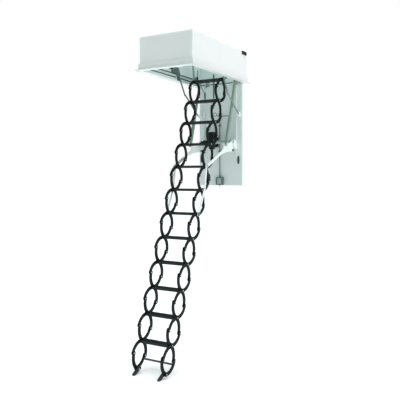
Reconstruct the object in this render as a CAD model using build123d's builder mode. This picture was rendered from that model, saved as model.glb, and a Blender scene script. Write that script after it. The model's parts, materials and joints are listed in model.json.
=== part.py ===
from build123d import *
import os
from math import asin, atan2, cos, degrees, hypot, radians, sin

os.makedirs("parts", exist_ok=True)

# An electric concertina loft ladder, hatch open and ladder pulled down.
# Millimetres. +X runs along the hatch box towards the hinge end, +Y to its left, +Z up.
# The origin is the middle of the box, on the ceiling plane (top of the trim flange).

# hatch box and trim
BOX_LENGTH = 1160
BOX_WIDTH = 600
BOX_HEIGHT = 320
WALL = 18
FLANGE = 40
FLANGE_THICK = 8
TRIM_LEG_HEIGHT = 60
TRIM_LEG_THICK = 12
WALL_SCREW_R = 4
FLANGE_SCREW_R = 3
SIDE_SCREW_X = 420
SIDE_SCREW_Z = (100, 220)
END_SCREW_Z = (115, 150)
INNER_X = BOX_LENGTH / 2 - WALL
INNER_Y = BOX_WIDTH / 2 - WALL
FLANGE_X = BOX_LENGTH / 2 + FLANGE
FLANGE_Y = BOX_WIDTH / 2 + FLANGE
FLANGE_SCREW_X = FLANGE_X - 17
FLANGE_SCREW_Y = FLANGE_Y - 15

# hatch leaf, hanging open
HINGE_X = 571
HINGE_Z = -10
LEAF_FACE_X = 535
LEAF_THICK = 40
LEAF_HALF_WIDTH = 270
LEAF_TOP_Z = -13
HINGE_SEAT_Z = -30
HINGE_POCKET_HALF = 34
LEAF_BOTTOM_Z = -1143

# ladder: twelve rings of S-shaped links, one below the other
FIRST_X = 280
FIRST_Z = 0
TILT = radians(21.2)
PITCH = 253.6
RING_WIDTH = 190
CROSSINGS = 13
TREADS = 12
LINK_WIDTH = 36
KNUCKLE_R = 20
HUB_R = 20
LAYER_A = (154, 164)
LAYER_B = (166, 176)
RUNNING = 0.08
RIVET_R = 5.5
RIVET_HEAD_R = 9
CAP = (176.6, 180)
AXLE_R = 7
AXLE_CAP_R = 11

# arc of a ring: through one crossing, a knuckle and the next crossing
RING_R = ((PITCH / 2) ** 2 + (RING_WIDTH / 2) ** 2) / RING_WIDTH
HALF_TURN = asin(PITCH / 2 / RING_R) / 2
MID_ALONG = PITCH / 2 - RING_R * sin(HALF_TURN)
MID_REAR = RING_WIDTH / 2 - RING_R * (1 - cos(HALF_TURN))

# treads
TREAD_DEPTH = 85
TREAD_HEIGHT = 22
TREAD_HALF_LENGTH = 150
TREAD_TOP = 4
TREAD_SKIRT = 3
RIB_HEIGHT = 1.5
RIB_COUNT = 9

# hanger that carries the first crossing, on the box walls
HANGER_X = 240
HANGER_Z = 250
HANGER_TUBE_R = 12
HANGER_ARM = (186, 194)
WALL_PLATE = (268, INNER_Y)

# lever arms between the leaf and the seventh tread
SHAFT_X = 440
SHAFT_Z = -662
SHAFT_R = 15
KNEE_X = -115
KNEE_Z = -940
KNEE_R = 8
LINK_BEND_X = -150
LINK_BEND_Z = -1170
LEVER_ARM = (198, 204)
LEVER_LINK = (186, 192)
LEVER_TREAD = 7
OPEN_EYE_R = 14.5
LEAF_EAR = (205.5, 211.5)

# telescopic struts from the box to the lever arms
STRUT_TOP_X = 470
STRUT_TOP_Z = 40
STRUT_FOOT_X = 250
STRUT_FOOT_Z = -700
STRUT_MID_Y = 224
STRUT_TUBE_R = 16
STRUT_TUBE_BORE = 11
STRUT_TUBE_LENGTH = 500
STRUT_ROD_R = 10.92
STRUT_ROD_START = 430
STRUT_EYE = (218, 230)
STRUT_PIN_R = 7
STRUT_FOOT_PIN_R = 6
STRUT_FOOT_HEAD = (235.4, 238.4)
STRUT_OPEN_R = 13.4

# folding stays between the box and the leaf edges
STAY_BOX_X = 80
STAY_BOX_Z = 40
STAY_KNEE_X = 200
STAY_KNEE_Z = -150
STAY_LEAF_X = 482
STAY_LEAF_Z = -355
STAY_PIN_R = 6
STAY_WIDTH = 20
STAY_UPPER = (261, 266)
STAY_LOWER = (254, 259)

# leaf rails, latch and drive
RAIL = (200, 212)
RAIL_DEPTH = 16
LATCH_X = 522
LATCH_ROD_R = 5
LATCH_TOP_Z = -383
LATCH_TIP_Z = -1153


def side_plane(y):
    """Plane facing -Y, with its local x along X and its local y along Z."""
    return Plane(origin=(0, y, 0), x_dir=(1, 0, 0), z_dir=(0, -1, 0))


def both_sides(span):
    """The same distance from the middle on the left and on the right."""
    low, high = span
    return ((low, high), (-high, -low))


def discs(span, radius, centres, mode=Mode.ADD):
    """Round discs, pins or holes across Y, on the left and the right."""
    for low, high in both_sides(span):
        with BuildSketch(side_plane(high)) as profile:
            with Locations(*centres):
                Circle(radius)
        extrude(profile.sketch, amount=high - low, mode=mode)


def cross_rod(half_length, radius, centre, mode=Mode.ADD):
    """A rod or hole that runs right across, from -half_length to half_length."""
    with BuildSketch(side_plane(half_length)) as profile:
        with Locations(centre):
            Circle(radius)
    extrude(profile.sketch, amount=2 * half_length, mode=mode)


def bars(span, points, width):
    """Flat bars with round ends from point to point, on the left and the right."""
    for low, high in both_sides(span):
        with BuildSketch(side_plane(high)) as profile:
            for start, end in zip(points, points[1:]):
                slot_between(start, end, width)
        extrude(profile.sketch, amount=high - low)


def slot_between(start, end, width):
    """A slot outline whose end circles are centred on two points."""
    middle = ((start[0] + end[0]) / 2, (start[1] + end[1]) / 2)
    reach = hypot(end[0] - start[0], end[1] - start[1])
    angle = degrees(atan2(end[1] - start[1], end[0] - start[0]))
    with Locations(middle):
        SlotCenterToCenter(reach, width, rotation=angle)


def plates(span, points):
    """Flat plates with the given side outline, on the left and the right."""
    for low, high in both_sides(span):
        with BuildSketch(side_plane(high)) as profile:
            with BuildLine():
                Polyline(*points, close=True)
            make_face()
        extrude(profile.sketch, amount=high - low)


def blocks(x_span, y_span, z_span):
    """Rectangular blocks on the left and the right."""
    size = [high - low for low, high in (x_span, y_span, z_span)]
    middle = [(low + high) / 2 for low, high in (x_span, y_span, z_span)]
    with Locations(tuple(middle), (middle[0], -middle[1], middle[2])):
        Box(*size)


def block(x_span, y_span, z_span, mode=Mode.ADD):
    """One rectangular block between the given limits."""
    spans = (x_span, y_span, z_span)
    with Locations(tuple((low + high) / 2 for low, high in spans)):
        Box(*[high - low for low, high in spans], mode=mode)


def ladder_point(along, rear):
    """X and Z of a point given along the ladder from the first crossing, and towards its rear."""
    x = FIRST_X - along * sin(TILT) + rear * cos(TILT)
    z = FIRST_Z - along * cos(TILT) - rear * sin(TILT)
    return (x, z)


def crossing(number):
    return ladder_point((number - 1) * PITCH, 0)


def knuckle(number, side):
    """The pivot halfway down ring number, at the front (-1) or the rear (1)."""
    return ladder_point((number - 0.5) * PITCH, side * RING_WIDTH / 2)


def half_link(number, down, side):
    """Outline of one curved half of a link, from its crossing to a knuckle."""
    start = Vector(*crossing(number))
    along = (number - 1) * PITCH + down * MID_ALONG
    middle = Vector(*ladder_point(along, side * MID_REAR))
    end = Vector(*knuckle(number if down > 0 else number - 1, side))
    SlotArc(Edge.make_three_point_arc(start, middle, end), LINK_WIDTH)
    with Locations(end):
        Circle(KNUCKLE_R)


def link_pivots(number, lower_side):
    """The knuckle pivots that a link reaches."""
    pivots = []
    if number > 1:
        pivots.append(knuckle(number - 1, -lower_side))
    if number < CROSSINGS:
        pivots.append(knuckle(number, lower_side))
    return pivots


def link_plates(number, span, lower_side):
    """The left and right plates of a link, with the hole for the tread axle."""
    for low, high in both_sides(span):
        with BuildSketch(side_plane(high)) as profile:
            if number > 1:
                half_link(number, -1, -lower_side)
            if number < CROSSINGS:
                half_link(number, 1, lower_side)
            with Locations(crossing(number)):
                Circle(HUB_R)
                Circle(AXLE_R + RUNNING, mode=Mode.SUBTRACT)
        extrude(profile.sketch, amount=high - low)


# ---------------------------------------------------------------- hatch box

with BuildPart() as box_side_walls:
    blocks((-BOX_LENGTH / 2, BOX_LENGTH / 2), (INNER_Y, BOX_WIDTH / 2), (0, BOX_HEIGHT))
    side_holes = [(x, z) for x in (-SIDE_SCREW_X, SIDE_SCREW_X) for z in SIDE_SCREW_Z]
    discs((INNER_Y, BOX_WIDTH / 2), WALL_SCREW_R, side_holes, mode=Mode.SUBTRACT)
box_side_walls.part.label = "box_side_walls"
export_step(box_side_walls.part, "parts/box_side_walls.step")

with BuildPart() as box_end_walls:
    for middle in (-(INNER_X + WALL / 2), INNER_X + WALL / 2):
        with Locations((middle, 0, BOX_HEIGHT / 2)):
            Box(WALL, 2 * INNER_Y, BOX_HEIGHT)
    with BuildSketch(Plane.YZ.offset(-BOX_LENGTH / 2)):
        with Locations(*[(0, z) for z in END_SCREW_Z]):
            Circle(WALL_SCREW_R)
    extrude(amount=WALL, mode=Mode.SUBTRACT)
    with BuildSketch(Plane.YZ.offset(INNER_X)):
        with Locations(*[(0, z) for z in END_SCREW_Z]):
            Circle(WALL_SCREW_R)
    extrude(amount=WALL, mode=Mode.SUBTRACT)
box_end_walls.part.label = "box_end_walls"
export_step(box_end_walls.part, "parts/box_end_walls.step")

HINGE_GAP_X = BOX_LENGTH / 2 + 4

with BuildPart() as ceiling_trim:
    with BuildSketch(Plane.XY.offset(-FLANGE_THICK)):
        Rectangle(2 * FLANGE_X, 2 * FLANGE_Y)
        with Locations(((HINGE_GAP_X - INNER_X) / 2, 0)):
            Rectangle(INNER_X + HINGE_GAP_X, 2 * INNER_Y, mode=Mode.SUBTRACT)
        with GridLocations(2 * FLANGE_SCREW_X, 2 * FLANGE_SCREW_Y, 2, 2):
            Circle(FLANGE_SCREW_R, mode=Mode.SUBTRACT)
    extrude(amount=FLANGE_THICK)
    with BuildSketch(Plane.XY):
        Rectangle(BOX_LENGTH + 2 * TRIM_LEG_THICK, BOX_WIDTH + 2 * TRIM_LEG_THICK)
        Rectangle(BOX_LENGTH, BOX_WIDTH, mode=Mode.SUBTRACT)
    extrude(amount=TRIM_LEG_HEIGHT)
ceiling_trim.part.label = "ceiling_trim"
export_step(ceiling_trim.part, "parts/ceiling_trim.step")

GASKET_THICK = 5
# the two faces of the shut leaf each meet one seal
GASKET_Z = ((22, 32), (57, 67))
# the seals stop at the stay and strut plates
GASKET_X = ((-INNER_X, 38), (122, 438), (505, INNER_X - 10))

with BuildPart() as gasket:
    end_half = INNER_Y - GASKET_THICK
    for height in GASKET_Z:
        for reach in GASKET_X:
            blocks(reach, (end_half, INNER_Y), height)
        block((-INNER_X, -INNER_X + GASKET_THICK), (-end_half, end_half), height)
gasket.part.label = "gasket"
export_step(gasket.part, "parts/gasket.step")

with BuildPart() as box_brackets:
    # bearing plates of the hanger tube
    plates(WALL_PLATE, [(195, 235), (195, 285), (285, 285), (285, 215), (215, 215)])
    discs(WALL_PLATE, HANGER_TUBE_R + RUNNING, [(HANGER_X, HANGER_Z)], mode=Mode.SUBTRACT)
    # stay plates, which reach down into the opening
    plates(WALL_PLATE, [(-42, 135), (85, 135), (112, 70), (104, -2), (74, -2), (45, 70), (-42, 70)])
    discs((253, 268), STAY_PIN_R, [(STAY_BOX_X, STAY_BOX_Z)])
    discs((250, 253), STAY_PIN_R + 3, [(STAY_BOX_X, STAY_BOX_Z)])
    # strut plates
    plates(WALL_PLATE, [(440, 15), (440, 75), (460, 95), (500, 95), (500, 15)])
    discs((214, 268), STRUT_PIN_R, [(STRUT_TOP_X, STRUT_TOP_Z)])
    discs((210, 214), STRUT_PIN_R + 4, [(STRUT_TOP_X, STRUT_TOP_Z)])
box_brackets.part.label = "box_brackets"
export_step(box_brackets.part, "parts/box_brackets.step")

# ---------------------------------------------------------------- leaf hinges

HINGE_KNUCKLE_R = 6.5
HINGE_PIN_R = 3.5
HINGE_Y = (-180, 180)
BOX_KNUCKLE_HALF = 15
LEAF_KNUCKLE = (15.4, 30)


def hinge_discs(low, high, radius, mode=Mode.ADD):
    """A disc on the hinge axis between two Y limits."""
    with BuildSketch(side_plane(high)) as profile:
        with Locations((HINGE_X, HINGE_Z)):
            Circle(radius)
    extrude(profile.sketch, amount=high - low, mode=mode)


with BuildPart() as hinge_box_plates:
    for y in HINGE_Y:
        low, high = y - BOX_KNUCKLE_HALF, y + BOX_KNUCKLE_HALF
        hinge_discs(low, high, HINGE_KNUCKLE_R)
        block((INNER_X - 4, HINGE_X), (low, high), (-14, -6))
        block((INNER_X - 4, INNER_X), (low, high), (-14, -8))
        block((INNER_X - 4, INNER_X), (low - 10, high + 10), (-8, 50))
        hinge_discs(low, high, HINGE_PIN_R + RUNNING, mode=Mode.SUBTRACT)
hinge_box_plates.part.label = "hinge_box_plates"
export_step(hinge_box_plates.part, "parts/hinge_box_plates.step")

with BuildPart() as hinge_leaf_plates:
    for y in HINGE_Y:
        block((540, 575), (y - 30, y + 30), (HINGE_SEAT_Z, HINGE_SEAT_Z + 3))
        for side in (-1, 1):
            low, high = sorted((y + side * LEAF_KNUCKLE[0], y + side * LEAF_KNUCKLE[1]))
            hinge_discs(low, high, HINGE_KNUCKLE_R)
            block((HINGE_X - 3, HINGE_X + 3), (low, high), (HINGE_SEAT_Z, HINGE_Z))
        hinge_discs(y - 32, y + 32, HINGE_PIN_R)
hinge_leaf_plates.part.label = "hinge_leaf_plates"
export_step(hinge_leaf_plates.part, "parts/hinge_leaf_plates.step")

# ---------------------------------------------------------------- leaf

with BuildPart() as leaf_panel:
    leaf_x = (LEAF_FACE_X, LEAF_FACE_X + LEAF_THICK)
    block(leaf_x, (-LEAF_HALF_WIDTH, LEAF_HALF_WIDTH), (LEAF_BOTTOM_Z, LEAF_TOP_Z))
    outer_face = leaf_panel.faces().sort_by(Axis.X)[-1]
    chamfer(outer_face.edges(), 4)
    for y in HINGE_Y:
        pocket = (y - HINGE_POCKET_HALF, y + HINGE_POCKET_HALF)
        block(leaf_x, pocket, (HINGE_SEAT_Z, LEAF_TOP_Z), mode=Mode.SUBTRACT)
leaf_panel.part.label = "leaf_panel"
export_step(leaf_panel.part, "parts/leaf_panel.step")

RAIL_X = (LEAF_FACE_X - RAIL_DEPTH, LEAF_FACE_X)
BEARING_BASE_Y = 236
STAY_EAR = (244, 252)

with BuildPart() as leaf_rails:
    blocks(RAIL_X, RAIL, (-830, -45))
    # lever bearings
    blocks((LEAF_FACE_X - 6, LEAF_FACE_X), (RAIL[1], BEARING_BASE_Y), (-768, -640))
    ear = [(LEAF_FACE_X, -640), (LEAF_FACE_X, -765), (SHAFT_X, -692), (416, -662), (SHAFT_X, -640)]
    plates(LEAF_EAR, ear)
    discs(LEAF_EAR, 24, [(SHAFT_X, SHAFT_Z)])
    discs(LEAF_EAR, SHAFT_R + RUNNING, [(SHAFT_X, SHAFT_Z)], mode=Mode.SUBTRACT)
    # stay ears
    stay_ear = [(LEAF_FACE_X, -325), (LEAF_FACE_X, -385), (468, -367), (468, -343)]
    plates(STAY_EAR, stay_ear)
    blocks((LEAF_FACE_X - 8, LEAF_FACE_X), (RAIL[1], STAY_EAR[1]), (-385, -325))
leaf_rails.part.label = "leaf_rails"
export_step(leaf_rails.part, "parts/leaf_rails.step")

LATCH_CASE_Z = (-1140, -1050)
LATCH_GUIDES_Z = (-470, -760)

with BuildPart() as latch_case:
    block((LATCH_X - 14, LEAF_FACE_X), (-45, 45), LATCH_CASE_Z)
    with Locations(*[(LATCH_X + 2, 0, z) for z in LATCH_GUIDES_Z]):
        Box(22, 26, 16)
    with Locations((LATCH_X, 0, (LATCH_TIP_Z + LATCH_TOP_Z) / 2)):
        Cylinder(LATCH_ROD_R + 0.3, LATCH_TOP_Z - LATCH_TIP_Z, mode=Mode.SUBTRACT)
latch_case.part.label = "latch_case"
export_step(latch_case.part, "parts/latch_case.step")

with BuildPart() as latch_rod:
    with Locations((LATCH_X, 0, (LATCH_TIP_Z + LATCH_TOP_Z) / 2)):
        Cylinder(LATCH_ROD_R, LATCH_TOP_Z - LATCH_TIP_Z)
    with BuildSketch(side_plane(10)):
        with Locations((LATCH_X, LATCH_TOP_Z + 18)):
            Circle(4)
    extrude(amount=150)
    block((LATCH_X - 4, LATCH_X + 4), (-8, 8), (LATCH_TOP_Z - 12, LATCH_TOP_Z + 22))
latch_rod.part.label = "latch_rod"
export_step(latch_rod.part, "parts/latch_rod.step")

# ---------------------------------------------------------------- drive

MOTOR_Y = (20, 90)
HOUSING_INSET = 4
GEARBOX_R = 40

with BuildPart() as drive_motor:
    with BuildSketch(side_plane(MOTOR_Y[1] - HOUSING_INSET)):
        with BuildLine():
            housing = [(402, -546), (478, -546), (478, -668), (452, -735), (428, -735), (402, -668)]
            Polyline(*housing, close=True)
        make_face()
    extrude(amount=MOTOR_Y[1] - MOTOR_Y[0] - 2 * HOUSING_INSET)
    fillet(drive_motor.edges().filter_by(Axis.Y), 8)
    with BuildSketch(side_plane(MOTOR_Y[1])):
        with Locations((SHAFT_X, SHAFT_Z)):
            Circle(GEARBOX_R)
    extrude(amount=MOTOR_Y[1] - MOTOR_Y[0])
    block((470, LEAF_FACE_X), (35, 75), (-700, -600))
    block((LEAF_FACE_X - 6, LEAF_FACE_X), MOTOR_Y, (-712, -590))
    with BuildSketch(side_plane(MOTOR_Y[1])):
        with Locations((SHAFT_X, SHAFT_Z)):
            Circle(SHAFT_R + RUNNING)
    extrude(amount=MOTOR_Y[1] - MOTOR_Y[0], mode=Mode.SUBTRACT)
drive_motor.part.label = "drive_motor"
export_step(drive_motor.part, "parts/drive_motor.step")

with BuildPart() as drive_shaft:
    cross_rod(213, SHAFT_R, (SHAFT_X, SHAFT_Z))
drive_shaft.part.label = "drive_shaft"
export_step(drive_shaft.part, "parts/drive_shaft.step")

# ---------------------------------------------------------------- lever arms

LEVER_WIDTH = 30

with BuildPart() as lever_arms:
    bars(LEVER_ARM, [(SHAFT_X, SHAFT_Z), (KNEE_X, KNEE_Z)], LEVER_WIDTH)
    gusset = [(462, SHAFT_Z), (STRUT_FOOT_X, STRUT_FOOT_Z), (180, -812), (300, -782), (448, -765)]
    plates(LEVER_ARM, gusset)
    discs(LEVER_ARM, 22, [(SHAFT_X, SHAFT_Z)])
    discs(LEVER_ARM, 20, [(STRUT_FOOT_X, STRUT_FOOT_Z)])
    discs((204, STRUT_FOOT_HEAD[0]), STRUT_FOOT_PIN_R, [(STRUT_FOOT_X, STRUT_FOOT_Z)])
    discs(STRUT_FOOT_HEAD, STRUT_OPEN_R + 3.6, [(STRUT_FOOT_X, STRUT_FOOT_Z)])
    discs((185.4, 198), KNEE_R, [(KNEE_X, KNEE_Z)])
    discs((183, 185.4), KNEE_R + 5, [(KNEE_X, KNEE_Z)])
    discs(LEVER_ARM, SHAFT_R + 0.05, [(SHAFT_X, SHAFT_Z)], mode=Mode.SUBTRACT)
lever_arms.part.label = "lever_arms"
export_step(lever_arms.part, "parts/lever_arms.step")

LINK_END = crossing(LEVER_TREAD)

with BuildPart() as lever_links:
    bars(LEVER_LINK, [(KNEE_X, KNEE_Z), (LINK_BEND_X, LINK_BEND_Z), LINK_END], 26)
    discs(LEVER_LINK, 18, [(KNEE_X, KNEE_Z)])
    discs(LEVER_LINK, 22, [LINK_END])
    discs(LEVER_LINK, KNEE_R + RUNNING, [(KNEE_X, KNEE_Z)], mode=Mode.SUBTRACT)
    discs(LEVER_LINK, OPEN_EYE_R, [LINK_END], mode=Mode.SUBTRACT)
lever_links.part.label = "lever_links"
export_step(lever_links.part, "parts/lever_links.step")

# ---------------------------------------------------------------- struts

STRUT_REACH = hypot(STRUT_FOOT_X - STRUT_TOP_X, STRUT_FOOT_Z - STRUT_TOP_Z)


def strut_plane(side, distance):
    """Plane across the strut, a distance down it from its top pivot."""
    step_x = (STRUT_FOOT_X - STRUT_TOP_X) / STRUT_REACH
    step_z = (STRUT_FOOT_Z - STRUT_TOP_Z) / STRUT_REACH
    origin = (STRUT_TOP_X + distance * step_x, side * STRUT_MID_Y, STRUT_TOP_Z + distance * step_z)
    return Plane(origin=origin, x_dir=(0, 1, 0), z_dir=(step_x, 0, step_z))


with BuildPart() as strut_tubes:
    for side in (-1, 1):
        with BuildSketch(strut_plane(side, 15)):
            Circle(STRUT_TUBE_R)
        extrude(amount=STRUT_TUBE_LENGTH - 15)
        with BuildSketch(strut_plane(side, 60)):
            Circle(STRUT_TUBE_BORE)
        extrude(amount=STRUT_TUBE_LENGTH - 60, mode=Mode.SUBTRACT)
    discs(STRUT_EYE, 18, [(STRUT_TOP_X, STRUT_TOP_Z)])
    discs((200, 250), STRUT_PIN_R + RUNNING, [(STRUT_TOP_X, STRUT_TOP_Z)], mode=Mode.SUBTRACT)
strut_tubes.part.label = "strut_tubes"
export_step(strut_tubes.part, "parts/strut_tubes.step")

with BuildPart() as strut_rods:
    for side in (-1, 1):
        with BuildSketch(strut_plane(side, STRUT_ROD_START)):
            Circle(STRUT_ROD_R)
        extrude(amount=STRUT_REACH - STRUT_ROD_START - 15)
    discs(STRUT_EYE, 19, [(STRUT_FOOT_X, STRUT_FOOT_Z)])
    discs(STRUT_EYE, STRUT_OPEN_R, [(STRUT_FOOT_X, STRUT_FOOT_Z)], mode=Mode.SUBTRACT)
strut_rods.part.label = "strut_rods"
export_step(strut_rods.part, "parts/strut_rods.step")

# ---------------------------------------------------------------- stays

with BuildPart() as stay_upper_links:
    bars(STAY_UPPER, [(STAY_BOX_X, STAY_BOX_Z), (STAY_KNEE_X, STAY_KNEE_Z)], STAY_WIDTH)
    discs((251, STAY_UPPER[0]), STAY_PIN_R, [(STAY_KNEE_X, STAY_KNEE_Z)])
    discs((251, 253.5), STAY_PIN_R + 3, [(STAY_KNEE_X, STAY_KNEE_Z)])
    pin_hole = STAY_PIN_R + RUNNING
    discs(STAY_UPPER, pin_hole, [(STAY_BOX_X, STAY_BOX_Z)], mode=Mode.SUBTRACT)
stay_upper_links.part.label = "stay_upper_links"
export_step(stay_upper_links.part, "parts/stay_upper_links.step")

with BuildPart() as stay_lower_links:
    bars(STAY_LOWER, [(STAY_KNEE_X, STAY_KNEE_Z), (STAY_LEAF_X, STAY_LEAF_Z)], STAY_WIDTH)
    discs(STAY_LOWER, pin_hole, [(STAY_KNEE_X, STAY_KNEE_Z)], mode=Mode.SUBTRACT)
    discs((259, 261), STAY_PIN_R + 2, [(STAY_LEAF_X, STAY_LEAF_Z)])
stay_lower_links.part.label = "stay_lower_links"
export_step(stay_lower_links.part, "parts/stay_lower_links.step")

# ---------------------------------------------------------------- hanger

ARM_TOP = (HANGER_X, HANGER_Z)

with BuildPart() as hanger_arms:
    cross_rod(280, HANGER_TUBE_R, ARM_TOP)
    bars(HANGER_ARM, [ARM_TOP, crossing(1)], 34)
    discs(HANGER_ARM, 24, [ARM_TOP])
    discs(HANGER_ARM, AXLE_R + 0.05, [crossing(1)], mode=Mode.SUBTRACT)
hanger_arms.part.label = "hanger_arms"
export_step(hanger_arms.part, "parts/hanger_arms.step")

# ---------------------------------------------------------------- ladder links

for number in range(1, CROSSINGS + 1):
    name = f"link_a_{number:02d}"
    with BuildPart() as link_a:
        link_plates(number, LAYER_A, 1)
        pivots = link_pivots(number, 1)
        discs((LAYER_A[1], CAP[0]), RIVET_R, pivots)
        discs(CAP, RIVET_HEAD_R, pivots)
    link_a.part.label = name
    export_step(link_a.part, f"parts/{name}.step")

    name = f"link_b_{number:02d}"
    with BuildPart() as link_b:
        link_plates(number, LAYER_B, -1)
        discs(LAYER_B, RIVET_R + RUNNING, link_pivots(number, -1), mode=Mode.SUBTRACT)
    link_b.part.label = name
    export_step(link_b.part, f"parts/{name}.step")

# ---------------------------------------------------------------- treads


def tread_profile(x, z):
    """Channel section with a ribbed top and a hub round the axle."""
    half = TREAD_DEPTH / 2
    top = TREAD_HEIGHT / 2
    with Locations((x, z + top - TREAD_TOP / 2)):
        Rectangle(TREAD_DEPTH, TREAD_TOP)
    with Locations((x - half + TREAD_SKIRT / 2, z), (x + half - TREAD_SKIRT / 2, z)):
        Rectangle(TREAD_SKIRT, TREAD_HEIGHT)
    with Locations((x, z)):
        Circle(TREAD_HEIGHT / 2)
    step = (TREAD_DEPTH - 9) / (RIB_COUNT - 1)
    with Locations((x, z + top + RIB_HEIGHT / 2)):
        with GridLocations(step, 1, RIB_COUNT, 1):
            Rectangle(3, RIB_HEIGHT)
    with Locations((x, z)):
        Circle(AXLE_R + 0.05, mode=Mode.SUBTRACT)


for number in range(1, TREADS + 1):
    name = f"tread_{number:02d}"
    axle_end = {1: 197, LEVER_TREAD: 196}.get(number, CAP[1])
    with BuildPart() as tread:
        with BuildSketch(side_plane(TREAD_HALF_LENGTH)):
            tread_profile(*crossing(number))
        extrude(amount=2 * TREAD_HALF_LENGTH)
        cross_rod(axle_end, AXLE_R, crossing(number))
        discs(CAP, AXLE_CAP_R, [crossing(number)])
        if number == LEVER_TREAD:
            discs((193, axle_end), OPEN_EYE_R + 4, [crossing(number)])
    tread.part.label = name
    export_step(tread.part, f"parts/{name}.step")

# ---------------------------------------------------------------- ladder foot

FOOT_X, FOOT_Z = crossing(CROSSINGS)
SHOE = [(28, 12), (12, 18), (-26, 2), (-76, -26), (-82, -40), (-58, -42), (-8, -20), (30, -6)]

with BuildPart() as feet:
    plates((128, 152), [(FOOT_X + x, FOOT_Z + z) for x, z in SHOE])
    discs((152, CAP[1]), AXLE_R, [(FOOT_X, FOOT_Z)])
    discs(CAP, AXLE_CAP_R, [(FOOT_X, FOOT_Z)])
feet.part.label = "feet"
export_step(feet.part, "parts/feet.step")

BAR_TURN = 0.24
bar_along = (TREADS - 0.5) * PITCH + RING_R * sin(BAR_TURN)
bar_rear = RING_WIDTH / 2 - RING_R * (1 - cos(BAR_TURN))
BAR_X, BAR_Z = ladder_point(bar_along, bar_rear)

with BuildPart() as stabiliser_bar:
    with BuildSketch(side_plane(LAYER_B[0])):
        with Locations((BAR_X, BAR_Z)):
            RectangleRounded(8, 18, 2, rotation=-degrees(TILT))
    extrude(amount=2 * LAYER_B[0])
stabiliser_bar.part.label = "stabiliser_bar"
export_step(stabiliser_bar.part, "parts/stabiliser_bar.step")
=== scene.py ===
import json
import math
import bmesh
import bpy
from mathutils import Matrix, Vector


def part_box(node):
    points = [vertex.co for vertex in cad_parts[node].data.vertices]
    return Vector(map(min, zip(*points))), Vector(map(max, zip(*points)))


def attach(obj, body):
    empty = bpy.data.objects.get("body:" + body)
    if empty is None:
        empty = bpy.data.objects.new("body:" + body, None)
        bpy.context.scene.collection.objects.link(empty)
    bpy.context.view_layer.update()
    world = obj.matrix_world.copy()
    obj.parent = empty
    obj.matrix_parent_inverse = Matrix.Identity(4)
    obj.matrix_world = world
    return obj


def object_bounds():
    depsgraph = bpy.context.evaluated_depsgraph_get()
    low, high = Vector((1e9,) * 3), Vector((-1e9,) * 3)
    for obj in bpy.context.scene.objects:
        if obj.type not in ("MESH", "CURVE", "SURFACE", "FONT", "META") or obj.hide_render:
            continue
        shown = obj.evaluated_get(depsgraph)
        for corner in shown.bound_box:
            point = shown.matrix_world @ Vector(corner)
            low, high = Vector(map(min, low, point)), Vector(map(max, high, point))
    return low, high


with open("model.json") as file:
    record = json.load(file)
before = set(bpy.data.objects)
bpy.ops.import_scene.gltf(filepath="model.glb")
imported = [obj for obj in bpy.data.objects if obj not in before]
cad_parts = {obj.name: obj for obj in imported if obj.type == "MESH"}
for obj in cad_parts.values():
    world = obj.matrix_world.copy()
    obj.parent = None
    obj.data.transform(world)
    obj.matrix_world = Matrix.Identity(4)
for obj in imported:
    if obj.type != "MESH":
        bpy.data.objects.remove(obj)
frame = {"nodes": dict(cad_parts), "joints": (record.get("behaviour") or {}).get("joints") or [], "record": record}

CAD_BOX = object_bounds()
NODES = frame["nodes"]
JOINT = {j["name"]: Vector(j["pos_m"]) for j in frame["joints"] if "pos_m" in j}
X, Y, Z = Vector((1, 0, 0)), Vector((0, 1, 0)), Vector((0, 0, 1))
RINGS = 12

# ------------------------------------------------------------------ materials


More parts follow.
